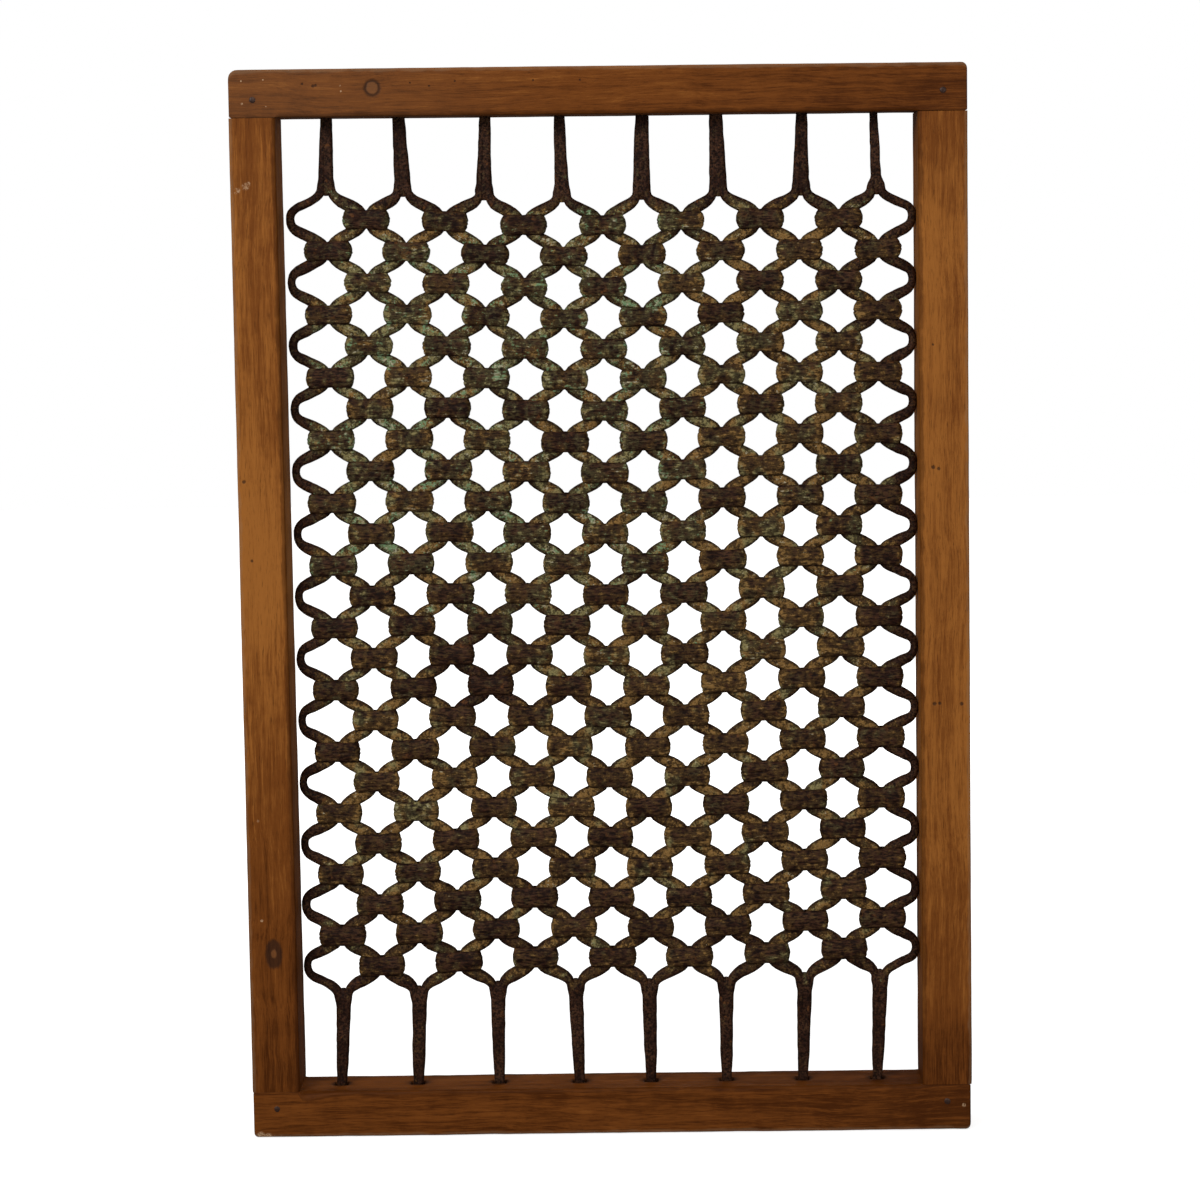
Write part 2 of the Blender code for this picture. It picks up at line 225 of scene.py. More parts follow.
class StageSettings(PropertyGroup):
    """Light and floor."""
    key: FloatProperty(
        name="Key light", description="Power of the large soft light in front", default=64.0,
        unit="POWER")
    top: FloatProperty(
        name="Top light", description="Power of the soft light above", default=19.0, unit="POWER")
    ambient: FloatProperty(
        name="Ambient", description="Strength of the light from all round", default=0.36)
    floor: colour_prop("Floor", "Colour of the pale floor", 0.55, 0.55, 0.55)


class Field:
    """A shader socket that is added, multiplied and mixed like a number."""

    def __init__(self, tree, socket=None):
        self.tree = tree
        self.socket = socket

    def node(self, kind, settings=None, sockets=None, output=0):
        """Adds a node: its settings are set first, then the values or links of its sockets."""
        made = self.tree.nodes.new(kind)
        for name, value in (settings or {}).items():
            if name == "stops":
                ramp = made.color_ramp
                while len(ramp.elements) < len(value):
                    ramp.elements.new(1.0)
                for element, (position, level) in zip(ramp.elements, value):
                    element.position = position
                    element.color = (level, level, level, 1.0)
            else:
                setattr(made, name, value)
        for name, value in (sockets or {}).items():
            if isinstance(value, Field):
                self.tree.links.new(value.socket, made.inputs[name])
            else:
                made.inputs[name].default_value = value
        return Field(self.tree, made.outputs[output])

    def math(self, operation, first, second=0.0):
        return self.node("ShaderNodeMath", {"operation": operation}, {0: first, 1: second})

    def __add__(self, other):
        return self.math("ADD", self, other)

    def __sub__(self, other):
        return self.math("SUBTRACT", self, other)

    def __rsub__(self, other):
        return self.math("SUBTRACT", other, self)

    def __mul__(self, other):
        return self.math("MULTIPLY", self, other)

    __radd__ = __add__
    __rmul__ = __mul__

    def most(self, other):
        return self.math("MAXIMUM", self, other)

    def rise(self, low, high):
        """0 below low, 1 above high, and a soft step in between."""
        settings = {"interpolation_type": "SMOOTHSTEP"}
        return self.node("ShaderNodeMapRange", settings,
                         {"Value": self, "From Min": low, "From Max": high})

    def level(self, stops):
        """Runs the value through a ramp of (position, level) stops."""
        return self.node("ShaderNodeValToRGB", {"stops": stops}, {"Fac": self})

    def mix(self, first, second):
        """A colour between first and second, this value being the share of the second."""
        colours = {6: opaque(first), 7: opaque(second)}
        return self.node("ShaderNodeMix", {"data_type": "RGBA"}, {0: self, **colours}, output=2)

    def vector(self, operation, other, output=0):
        return self.node("ShaderNodeVectorMath", {"operation": operation}, {0: self, 1: other},
                         output)

    def scaled(self, factors):
        return self.vector("MULTIPLY", factors)

    def moved(self, offset):
        return self.vector("ADD", offset)

    def distance(self, point):
        return self.vector("DISTANCE", point, "Value")

    def part(self, axis):
        return self.node("ShaderNodeSeparateXYZ", None, {0: self}, output=axis)

    def noise(self, scale, detail=2.0, roughness=0.5):
        return self.node("ShaderNodeTexNoise", None,
                         {"Vector": self, "Scale": scale, "Detail": detail,
                          "Roughness": roughness}, output="Fac")

    def attribute(self, name):
        return self.node("ShaderNodeAttribute", {"attribute_name": name}, output="Fac")

    def place(self):
        return self.node("ShaderNodeTexCoord", output="Object")

    def bump(self, strength, distance):
        return self.node("ShaderNodeBump", None,
                         {"Strength": strength, "Distance": distance, "Height": self})


def opaque(colour):
    return colour if isinstance(colour, Field) else (*colour, 1.0)


def new_finish(name, roughness, metallic, specular):
    """A material, the field that starts its sums, and its shader."""
    material = bpy.data.materials.new(name)
    material.use_nodes = True
    shader = material.node_tree.nodes["Principled BSDF"]
    shader.inputs["Roughness"].default_value = roughness
    shader.inputs["Metallic"].default_value = metallic
    shader.inputs["Specular IOR Level"].default_value = specular
    return material, Field(material.node_tree), shader


def feed(shader, socket_name, value):
    shader.id_data.links.new(value.socket, shader.inputs[socket_name])


# meshes

def grid_faces(rings, sides, first=0, ring_loop=False):
    """Quads between rings of points, facing out when the rings turn left round the way they go."""
    faces = []
    last = rings if ring_loop else rings - 1
    for ring in range(last):
        here = first + ring * sides
        there = first + (ring + 1) % rings * sides
        for side in range(sides):
            beside = (side + 1) % sides
            faces.append((here + side, there + side, there + beside, here + beside))
    return faces


def capped_faces(rings, sides, first=0):
    """The same quads, with a cap on the first ring and one on the last."""
    last = first + (rings - 1) * sides
    caps = [tuple(range(first, first + sides)), tuple(range(last, last + sides))[::-1]]
    return grid_faces(rings, sides, first) + caps


def new_piece(name, points, faces, material, node, marks):
    """A smooth mesh piece with named shares on its points, which stands for a node."""
    mesh = bpy.data.meshes.new(name)
    mesh.from_pydata(np.asarray(points).tolist(), [], faces)
    for mark, values in marks.items():
        layer = mesh.attributes.new(mark, "FLOAT", "POINT")
        layer.data.foreach_set("value", np.asarray(values, np.float32))
    mesh.shade_smooth()
    mesh.set_sharp_from_angle(angle=radians(50))
    mesh.materials.append(material)
    piece = bpy.data.objects.new(name, mesh)
    bpy.context.scene.collection.objects.link(piece)
    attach(piece, "root")
    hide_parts(node)
    return piece


def grain_of(points, scale, seed=0.0):
    """Smooth noise from -1 to 1 at each point. Scale is per metre, one number or one an axis."""
    moved = np.asarray(points) * np.asarray(scale) + seed
    return np.array([noise.noise(Vector(point)) for point in moved])


def soft_step(values, low, high):
    share = np.clip((np.asarray(values) - low) / (high - low), 0.0, 1.0)
    return share * share * (3.0 - 2.0 * share)


def even_shares(count):
    return [step / count for step in range(1, count)]


def rounded_loop(low, high, radii, sides):
    """Points round rounded rectangles, turning left, with their outward ways and arrises.

    Low and high have a row for each rectangle, radii a column for each corner, and sides the
    shares along each side at which points stand.
    """
    corners = [(high[:, 0], high[:, 1], -1, -1), (low[:, 0], high[:, 1], 1, -1),
               (low[:, 0], low[:, 1], 1, 1), (high[:, 0], low[:, 1], -1, 1)]
    middles = [(p + inward_p * radius, q + inward_q * radius, radius)
               for (p, q, inward_p, inward_q), radius in zip(corners, radii.T)]
    loop = []
    for quarter, side in enumerate(sides):
        p, q, radius = middles[quarter]
        for step in range(5):
            angle = (quarter + step / 4) * pi / 2
            out = (cos(angle), sin(angle))
            loop.append((p + radius * out[0], q + radius * out[1], *out, 1.0))
        next_p, next_q, next_radius = middles[(quarter + 1) % 4]
        last = (quarter + 1) * pi / 2
        out = (cos(last), sin(last))
        start = (p + radius * out[0], q + radius * out[1])
        end = (next_p + next_radius * out[0], next_q + next_radius * out[1])
        for share in side:
            loop.append((start[0] + (end[0] - start[0]) * share,
                         start[1] + (end[1] - start[1]) * share, *out,
                         max(0.0, 1.0 - min(share, 1 - share) * 8.0)))
    return np.array([[np.broadcast_to(value, len(low)) for value in point]
                     for point in loop]).transpose(1, 2, 0)


# the lattice

def wave(turn, column, row):
    per_column, per_row, start = turn
    return sin(per_column * column + per_row * row + start)


def knee(column, row):
    """A knee's middle in the X and Z plane: as in the solids, with the small shift and settling."""
    across = (column - MIDDLE_COLUMN) / MIDDLE_COLUMN
    lower = (row - MIDDLE_ROW) / (MIDDLE_ROW - TOP_WELD_ROW)
    x = GRILLE_LEFT + STEM_PITCH * (column + 0.5)
    at_side = column < 0 or column > STEM_COUNT - 1
    if not at_side:
        x += COLUMN_WAVE * wave(COLUMN_WAVE_TURN, column, row)
        x += LATTICE_SHIFT if TOP_WELD_ROW < row < BOTTOM_WELD_ROW else 0.0
    z = TOP_WELD_HEIGHT - ROW_PITCH * (row - TOP_WELD_ROW) - ROW_SETTLING * lower ** 2
    z += ROW_TILT * across + ROW_FAN * across * lower + ROW_SAG * (1 - lower) * across ** 2
    z += ROW_WAVE * wave(ROW_WAVE_TURN, column, row)
    return np.array((x, z))


def foot_x(stem, end):
    """Where a stem's foot enters the rail at one end of the grille."""
    even = knee(stem, WELD_ROW[end])[0] + STEM_LEAN * wave(LEAN_TURN[end], stem, 0)
    return even + FOOT_STRAY[end][stem]


def weld_place(stem, end):
    """Where a stem forks into its two bars."""
    return knee(stem, WELD_ROW[end]) + (WELD_STRAY[end][stem], 0.0)


# the larger green patches in the photograph: across, up
GREEN_PATCHES = [
    (0.024, 0.704), (0.044, 0.700), (-0.012, 0.523), (-0.180, 0.657), (-0.013, 0.730),
    (-0.180, 0.500), (-0.219, 0.797), (-0.224, 0.802), (-0.076, 0.677), (-0.088, 0.524),
    (-0.148, 0.448), (-0.088, 0.646), (-0.184, 0.603), (-0.156, 0.604), (-0.110, 0.476),
]
PATCH_REACH = 0.0060


def green_patch(x, z):
    """1 in the middle of a green patch and 0 away from all of them."""
    share = np.zeros(np.shape(x))
    for across, up in GREEN_PATCHES:
        reach = ((x - across) ** 2 + (z - up) ** 2) / PATCH_REACH ** 2
        share = np.maximum(share, np.exp(-reach))
    return share


def old_paint(x, z):
    """How much old paint is left at a place on the grille, from 0 to 1."""
    high = soft_step(z, 0.12, 0.30) * (1 - 0.60 * soft_step(z, 0.67, 0.81))
    side = 1 - 0.25 * soft_step(np.abs(x + 0.02), 0.17, 0.27)
    dark_patch = np.exp(-((x + 0.112) ** 2 + (z - 0.392) ** 2) / 0.040 ** 2)
    return np.clip((0.66 + 0.34 * high) * side * (1 - 0.8 * dark_patch), 0.0, 1.0)


def green_paint(x, z):
    """The green share of the old paint, strongest high up and on the left."""
    return soft_step(z, 0.22, 0.62) * (1 - 0.7 * soft_step(x, -0.02, 0.18))


class BarLine:
    """The centre line of a bar in the X and Z plane, with its half width and marks."""

    def __init__(self):
        self.points = []
        self.tangents = []
        self.widths = []
        self.cover = []

    def arc(self, ends, handles, count, widths, cover):
        """Adds a Bezier arc without its last point. Cover goes from its start to its end."""
        start, finish = ends
        first, second = handles
        for step in range(count):
            t = step / count
            u = 1.0 - t
            point = u ** 3 * start + 3 * u * u * t * first
            point = point + 3 * u * t * t * second + t ** 3 * finish
            run = u * u * (first - start) + 2 * u * t * (second - first) + t * t * (finish - second)
            self.points.append(point)
            self.tangents.append(run / np.linalg.norm(run))
            ease = t * t * (3 - 2 * t)
            self.widths.append(widths[0] + (widths[1] - widths[0]) * ease)
            self.cover.append(cover[0] + (cover[1] - cover[0]) * t)

    def line(self, start, finish, count, widths, cover):
        third = (finish - start) / 3
        self.arc((start, finish), (start + third, finish - third), count, widths, cover)

    def path(self, places, counts, widths, cover):
        """Adds a straight run from each place to the next, with the width and cover at each."""
        for index, count in enumerate(counts):
            self.line(places[index], places[index + 1], count, widths[index:index + 2],
                      cover[index:index + 2])


def down(length):
    return np.array((0.0, -length))


def add_strand(line, start, finish, kinds, widths, middle_width, count):
    """Half a zigzag from one knee to the next. Kinds says what each of the two knees is."""
    straights = [KNEE_STRAIGHTS[kind] for kind in kinds]
    handles = [KNEE_HANDLES[kind] for kind in kinds]
    slope = LOOP_SLOPE if "loop" in kinds else STRAND_SLOPE
    side = 1.0 if finish[0] > start[0] else -1.0
    way = np.array((side * cos(slope), -sin(slope)))
    middle = (start + finish) / 2
    upper = start + down(straights[0])
    lower = finish - down(straights[1])
    # a strand's cover runs from 0 under the upper collar to 1 above the lower one: less paint and a
    # painted shadow under the collar above, more paint and painted light towards the lower end
    below, above = [cover if kind == "collar" else WELD_COVER
                    for kind, cover in zip(kinds, (0.0, 1.0))]
    if straights[0]:
        line.line(start, upper, 1, (widths[0], widths[0]), (0.0, 0.0))
    line.arc((upper, middle), (upper + down(handles[0]), middle - STRAND_HANDLE * way), count,
             (widths[0], middle_width), (below, STRAND_COVER))
    line.arc((middle, lower), (middle + STRAND_HANDLE * way, lower - down(handles[1])), count,
             (middle_width, widths[1]), (STRAND_COVER, above))
    if straights[1]:
        line.line(lower, finish, 1, (widths[1], widths[1]), (1.0, 0.0))


def knee_of_bar(stem, side, row, half):
    """The bar's centre at a knee, its half width there, and the kind of knee."""
    if row in (TOP_WELD_ROW, BOTTOM_WELD_ROW):
        place = weld_place(stem, TOP if row == TOP_WELD_ROW else BOTTOM)
        return place + (side * STEM_WELD_HALF / 2, 0.0), STEM_WELD_HALF / 2, "weld"
    if (row - TOP_WELD_ROW) % 2 == 0:
        return knee(stem, row) + (side * KNEE_HALF, 0.0), half * KNEE_SWELL, "collar"
    column = stem + side / 2
    place = knee(column, row)
    if column < 0 or column > STEM_COUNT - 1:
        return place - (side * LOOP_HALF_WIDTH, 0.0), LOOP_HALF_WIDTH, "loop"
    return place - (side * KNEE_HALF, 0.0), half * KNEE_SWELL, "collar"


def stem_halves(stem, end):
    """Half widths of a stem's outline at its foot, half way, at its shoulder and at its weld."""
    if end == BOTTOM:
        return BOTTOM_FOOT_HALF, STEM_MIDDLE_HALF, STEM_SHOULDER_HALF, STEM_WELD_HALF
    halves = [half * TOP_GIRTH[stem]
              for half in (TOP_FOOT_HALF, STEM_MIDDLE_HALF, STEM_SHOULDER_HALF)]
    return *halves, STEM_WELD_HALF


def stem_points(stem, side, end):
    """The same four places on one of a stem's bars, or on the stem's middle with side 0."""
    rail = OPENING_TOP if end == TOP else OPENING_BOTTOM
    weld = weld_place(stem, end)
    foot = np.array((foot_x(stem, end), rail + end * SOCKET_DEPTH))
    shoulder = weld + (0.0, end * STEM_SHOULDER)
    places = (foot, (foot + shoulder) / 2, shoulder, weld)
    return [place + (side * half / 2, 0.0) for place, half in zip(places, stem_halves(stem, end))]


def add_stem(line, stem, side, end):
    """A stem's part of a bar: down from the foot at the top, and down to it at the bottom."""
    halves = [half / 2 for half in stem_halves(stem, end)]
    line.path(stem_points(stem, side, end)[::end], STEM_STEPS[::end], halves[::end],
              STEM_COVER[::end])


def bar_line(stem, side, half):
    """One bar from its foot in the top rail to its foot in the bottom rail."""
    line = BarLine()
    add_stem(line, stem, side, TOP)
    knees = [knee_of_bar(stem, side, row, half)
             for row in range(TOP_WELD_ROW, BOTTOM_WELD_ROW + 1)]
    for upper, lower in zip(knees, knees[1:]):
        places, halves, kinds = zip(upper, lower)
        at_side = "loop" in kinds
        middle_half = sum(halves) / 2 if at_side else half
        add_strand(line, *places, kinds, halves, middle_half,
                   LOOP_STEPS if at_side else STRAND_STEPS)
    add_stem(line, stem, side, BOTTOM)
    foot = stem_points(stem, side, BOTTOM)[0]
    half_foot = BOTTOM_FOOT_HALF / 2
    line.line(foot, foot + down(0.001), 1, (half_foot, half_foot), (0.0, 0.0))
    return line


def weld_line(stem, end):
    """The middle of a stem, where the two bars are welded into one, down into their fork."""
    line = BarLine()
    places = stem_points(stem, 0, end)
    places.append(places[-1] - (0.0, end * FORK_LENGTH))
    halves = (*stem_halves(stem, end)[:-1], WELD_FACE_HALF, FORK_HALF)
    line.path(places, WELD_STEPS, halves, (*STEM_COVER, WELD_COVER))
    return line


def sweep(line, depth_shares, sizes, seed, first):
    """Points of a hammered bar along a line, its faces, and how near an edge each point is."""
    sides = sizes.bar_sides
    centres, runs, widths = [np.array(values)
                             for values in (line.points, line.tangents, line.widths)]
    if runs[:, 1].mean() > 0:
        centres, runs, widths = centres[::-1], -runs[::-1], widths[::-1]
        depth_shares = depth_shares[::-1]
    across = np.stack((-runs[:, 1], runs[:, 0]), axis=1)
    turn = np.arange(sides) / sides * 2 * pi + pi / sides
    power = 2 / sizes.squareness
    out = np.sign(np.cos(turn)) * np.abs(np.cos(turn)) ** power
    fore = np.sign(np.sin(turn)) * np.abs(np.sin(turn)) ** power
    depths = sizes.bar_depth / 2 * depth_shares
    sway = grain_of(np.stack((centres[:, 0], centres[:, 1], np.full(len(centres), seed)), 1), 28.0)
    widths = widths * (1 + 0.13 * sway)
    x = centres[:, None, 0] + across[:, None, 0] * widths[:, None] * out
    z = centres[:, None, 1] + across[:, None, 1] * widths[:, None] * out
    y = depths[:, None] * fore + 0.0003 * sway[:, None]
    points = np.stack((x, y, z), axis=2).reshape(-1, 3)
    outward = np.stack((across[:, None, 0] * out, np.tile(fore, (len(centres), 1)),
                        across[:, None, 1] * out), axis=2).reshape(-1, 3)
    outward /= np.linalg.norm(outward, axis=1)[:, None]
    dents = grain_of(points, 120.0, seed) + 0.5 * grain_of(points, 330.0, seed + 7)
    points += outward * (sizes.hammering * dents)[:, None]
    return (points, capped_faces(len(centres), sides, first),
            np.tile(np.abs(out) ** 3, len(centres)))


def forged_piece(name, stem, parts, faces, material):
    """Joins the parts of a pair's bars or collars, with their marks, into one piece."""
    marks = {mark: np.concatenate([part[mark] for part in parts]) for mark in parts[0]}
    points = marks.pop("points")
    number = str(stem + 1)
    return new_piece(name + number, points, faces, material, "bar_pair_" + number,
                     marks)


def build_bars(stem, sizes, material):
    """The two bars of a pair and the welded middles of their two stems, as one piece."""
    rng = np.random.default_rng(SEED + stem)
    lines = [(bar_line(stem, side, sizes.bar_width / 2), None) for side in (-1, 1)]
    lines += [(weld_line(stem, end), end) for end in (TOP, BOTTOM)]
    parts, faces = [], []
    first = 0
    for number, (line, end) in enumerate(lines):
        count = len(line.points)
        shares = np.full(count, 1.0)
        if end:
            shares = 0.97 - 0.28 * soft_step(np.arange(count) / (count - 1), 0.74, 1.0)
        points, bar_faces, around = sweep(line, shares, sizes, 10.0 * stem + 2.3 * number, first)
        faces += bar_faces
        first += len(points)
        x, z = points[:, 0], points[:, 2]
        strand = np.floor((TOP_WELD_HEIGHT - z) / ROW_PITCH).astype(int)
        draws = rng.uniform(-1, 1, (3, STRAND_DRAWS))
        index = np.clip(strand + STRANDS_ABOVE, 0, STRAND_DRAWS - 1)
        body = soft_step(z, OPENING_BOTTOM + 0.075, OPENING_BOTTOM + 0.10)
        body = body * (1 - soft_step(z, TOP_WELD_HEIGHT - 0.022, TOP_WELD_HEIGHT + 0.004))
        loops = soft_step(np.abs(x), HALF_OPENING - 0.030, HALF_OPENING - 0.012)
        cover = np.repeat(line.cover if end != BOTTOM else line.cover[::-1], sizes.bar_sides)
        # the cover term gives a strand less paint under the collar above it and more towards its
        # lower end: partly real paint, partly painted shadow and painted light
        share = old_paint(x, z) + 0.22 * draws[0][index] + 0.36 * (cover - WELD_COVER)
        patch = green_patch(x, z)
        share = share * (0.12 + 0.88 * body) * (1 - 0.75 * loops) + 0.55 * patch
        parts.append({
            "points": points,
            "paint": np.clip(share, 0, 1),
            "green": np.clip(green_paint(x, z) + 0.45 * draws[1][index], 0, 1) + patch,
            "edge": around,
            # painted shade on a strand: dark under the collar above it and along its edges, none at
            # its lower end
            "dirt": np.clip(1 - cover * 1.8 + 0.28 * around, 0, 1) * body,
        })
    return forged_piece("zigzag_bars_", stem, parts, faces, material)


# a collar: its corners' radius seen from above, the points up its face, where its grooves are and
# how far they stray, the half widths of a groove and of its waist, and the step of its lap
COLLAR_CORNER = 0.0052
FACE_POINTS = 13
GROOVE_HOMES = (-0.0034, 0.0002, 0.0036)
GROOVE_STRAY = 0.0008
GROOVE_HALF = 0.00075
WAIST_HALF = 0.0065
LAP_STEP = 0.0009


def collar_profile(half_height, wall, bulge):
    """Offsets and heights round the strip's section: up its face, over its rims and down inside."""
    rise = np.linspace(-0.96, 0.96, FACE_POINTS)
    face = [(-bulge * abs(share) ** 2.2, share * half_height) for share in rise]
    rim = (-bulge - 0.35 * wall, half_height)
    inside = [(-wall, share * half_height) for share in (0.90, 0.0, -0.90)]
    return np.array(face + [rim] + inside + [(rim[0], -half_height)])


def build_collar(stem, column, row, draw, sizes):
    """One collar's points and marks, and how many points it has along its strip and round it."""
    middle = knee(column, row)
    half_length = sizes.collar_length / 2 * (1 + 0.022 * draw[0])
    half_height = sizes.collar_height / 2 * (1 + 0.035 * draw[1])
    corner = np.array([[half_length, sizes.collar_depth / 2]])
    plan = rounded_loop(-corner, corner, np.full((1, 4), COLLAR_CORNER),
                        (even_shares(12), even_shares(3)) * 2)
    profile = collar_profile(half_height, sizes.collar_wall, sizes.collar_bulge)
    rings, sides = plan.shape[2], len(profile)
    x, y, out_x, out_y = [np.repeat(values, sides) for values in plan[:4, 0]]
    offset = np.tile(profile[:, 0], rings)
    z = np.tile(profile[:, 1], rings)
    outside = (np.tile(np.arange(sides), rings) < FACE_POINTS).astype(float)
    tips = soft_step(np.abs(x) / half_length, 0.5, 0.95)
    upper_rows = 1 - soft_step(row, 2, 7)
    waist = (0.45 + 0.4 * draw[2] + 0.5 * upper_rows) * np.exp(-(x / WAIST_HALF) ** 2)
    z = z * (1 - 0.085 * waist)
    local = np.stack((x + middle[0], y, z + middle[1]), axis=1)
    grooves = np.zeros(len(x))
    for number, home in enumerate(GROOVE_HOMES):
        level = home + GROOVE_STRAY * draw[3 + number]
        depth = 0.45 + 0.75 * grain_of(local, (55.0, 55.0, 3.0), 5.0 * number + row)
        grooves += np.clip(depth, 0, 1) * np.exp(-((z - level) / GROOVE_HALF) ** 2)
    fibre = grain_of(local, (70.0, 70.0, 620.0), 3.0 * stem)
    dents = grain_of(local, 130.0, 11.0 + stem)
    lap_start = 0.003 * draw[6]
    lap = LAP_STEP * soft_step(x, lap_start, lap_start + 0.0025)
    lap = lap * (1 - soft_step(x, 0.010, 0.0125)) * (out_y > 0.5)
    offset = offset + outside * (lap - sizes.groove * grooves + 0.00034 * fibre
                                 - 0.0007 * waist) + 0.00036 * dents
    rim = np.abs(z) / half_height
    end_fall = sizes.collar_end + 0.0013 * upper_rows
    offset = offset - end_fall * np.abs(out_x) ** 2 * np.clip(rim, 0, 1) ** 2.2
    z = z + np.sign(z) * 0.00045 * rim ** 3 * grain_of(local * (1, 1, 0), 160.0, row)
    x = x + out_x * offset
    y = y + out_y * offset
    beside = (knee(column + 0.5, row) - knee(column - 0.5, row)) / STEM_PITCH
    tilt = 0.8 * atan2(beside[1], beside[0]) + radians(1.6) * draw[7]
    at_x = middle[0] + x * cos(tilt) - z * sin(tilt) + 0.0003 * draw[8]
    at_z = middle[1] + x * sin(tilt) + z * cos(tilt) + 0.0003 * draw[9]
    patch = green_patch(at_x, at_z)
    left = old_paint(at_x, at_z) * (0.50 + 0.18 * draw[10] + (0.30 + 0.15 * draw[2]) * tips)
    left = left + 0.16 * soft_step(-z / half_height, 0.3, 0.7)
    part = {
        "points": np.stack((at_x, y, at_z), axis=1),
        "paint": np.clip(left + 0.5 * patch, 0, 1),
        "green": np.clip(green_paint(at_x, at_z) + 0.5 * draw[11], 0, 1) + patch,
        "edge": rim ** 4 * 0.4,
        # painted shade at the collar's lower edge and on its inside, and darker grooves
        "dirt": np.clip(0.9 * soft_step(-z / half_height, 0.60, 1.0) + 0.75 * grooves
                        + (1 - outside) * 0.8, 0, 1) * 0.8,
    }
    return part, rings, sides


def build_collars(stem, sizes, material):
    """A pair's own collars and the ones that it shares with its right neighbour, as one piece."""
    rng = np.random.default_rng(SEED + 100 + stem)
    places = [(stem, row) for row in range(1, KNEE_ROWS, 2)]
    if stem < STEM_COUNT - 1:
        places += [(stem + 0.5, row) for row in range(0, KNEE_ROWS, 2)]
    parts, faces = [], []
    for number, (column, row) in enumerate(places):
        part, rings, sides = build_collar(stem, column, row, rng.uniform(-1, 1, 12), sizes)
        parts.append(part)
        faces += grid_faces(rings, sides, number * rings * sides, ring_loop=True)
    return forged_piece("collars_", stem, parts, faces, material)


def dimmed(colour, share):
    return tuple(share * level for level in colour)


def iron_finish(name, colours, stretch):
    """Dark hammered iron, the remains of old paint and painted shade, laid out by the points' marks.

    Stretch is the scale of the scratches along each axis.
    """
    material, field, shader = new_finish(name, 0.55, 0.0, 0.09)
    place = field.place()
    paint, green, edge, dirt = [field.attribute(mark)
                                for mark in ("paint", "green", "edge", "dirt")]
    drawn = place.scaled(stretch)
    broad = place.noise(42.0, 3.0)
    patch = place.moved((3.1, 1.7, 5.3)).noise(170.0, 5.0, 0.66)
    grit = drawn.noise(620.0, 4.0, 0.68)
    fine = drawn.moved((4.0, 1.0, 3.0)).noise(1300.0, 3.0, 0.6)
    bare = broad.rise(0.40, 0.62).mix(colours.bare, colours.brown)
    bare = grit.rise(0.39, 0.63).mix(dimmed(colours.bare, 0.24), bare)
    rusty = place.moved((9.0, 2.0, 4.0)).noise(120.0, 4.0, 0.7).rise(0.60, 0.72)
    bare = (rusty * 0.7).mix(bare, colours.rust)
    # less paint at the edges: partly wear, partly a painted dark outline for the shade along the
    # bars' turned-away edges
    cover = 0.85 * patch + 0.55 * grit + 0.32 * paint - 0.20 * edge
    film = cover.rise(0.76, 0.93)
    painted = cover.rise(0.915, 1.01)
    warm = place.moved((1.0, 6.0, 2.0)).noise(70.0, 3.0) + 0.06 - 0.17 * green
    warm = warm.rise(0.35, 0.52)
    worn = (0.5 * grit + 0.5 * fine).rise(0.38, 0.60)
    olive = worn.mix(dimmed(colours.olive, 0.34), colours.olive)
    ochre = worn.mix(dimmed(colours.ochre, 0.34), colours.ochre)
    old = warm.mix(olive, ochre)
    thin = warm.mix(dimmed(colours.olive, 0.30), dimmed(colours.ochre, 0.32))
    bare = (film * 0.62).mix(bare, thin)
    leaf = 0.6 * place.moved((5.0, 8.0, 1.0)).noise(130.0, 3.0, 0.6) + 0.4 * grit + 0.18 * green
    turned = worn.mix(dimmed(colours.olive, 0.55), colours.green)
    old = leaf.rise(0.715, 0.755).mix(old, turned)
    surface = painted.mix(bare, old)
    flake = 0.7 * drawn.moved((2.0, 3.0, 7.0)).noise(430.0, 3.0, 0.6) + 0.3 * fine + 0.06 * green
    surface = (flake.rise(0.615, 0.67) * painted * 0.85).mix(surface, colours.cream)
    # painted shade from the points' mark: under the collars, at their lower edges and inside them,
    # and along the bars' edges; darker grooves too
    surface = (dirt * 0.8).mix(surface, dimmed(colours.bare, 0.3))
    feed(shader, "Base Color", surface)
    feed(shader, "Roughness", 0.40 + 0.22 * painted + 0.20 * fine)
    height = 0.35 * fine + 0.75 * grit + 0.35 * painted
    feed(shader, "Normal", height.bump(1.0, 0.0009))
    return material


def pin_finish(name, colours):
    material, field, shader = new_finish(name, 0.45, 0.3, 0.5)
    place = field.place()
    broad = place.noise(260.0, 3.0)
    surface = broad.rise(0.40, 0.62).mix(colours.bare, colours.brown)
    feed(shader, "Base Color", surface)
    feed(shader, "Roughness", 0.36 + 0.30 * broad)
    feed(shader, "Normal", place.noise(1200.0, 2.0).bump(0.6, 0.0003))
    return material


# the wooden frame

# dark nail holes in the top rail's and the stiles' faces: across, up, radius
NAIL_HOLES = [
    (-0.2436, 0.8880, 0.0010), (-0.2346, 0.8862, 0.0013), (-0.2325, 0.8868, 0.0010),
    (-0.1544, 0.8875, 0.0008), (-0.1388, 0.8848, 0.0009), (-0.1173, 0.8886, 0.0008),
    (-0.0529, 0.8884, 0.0008), (-0.0141, 0.8879, 0.0008),
    (-0.2998, 0.5596, 0.0015), (-0.2947, 0.4933, 0.0012),
    (0.2755, 0.5640, 0.0016), (0.2800, 0.5628, 0.0014), (0.2757, 0.6660, 0.0010),
    (0.2757, 0.3652, 0.0016), (0.2800, 0.3656, 0.0013), (0.2985, 0.3648, 0.0015),
]
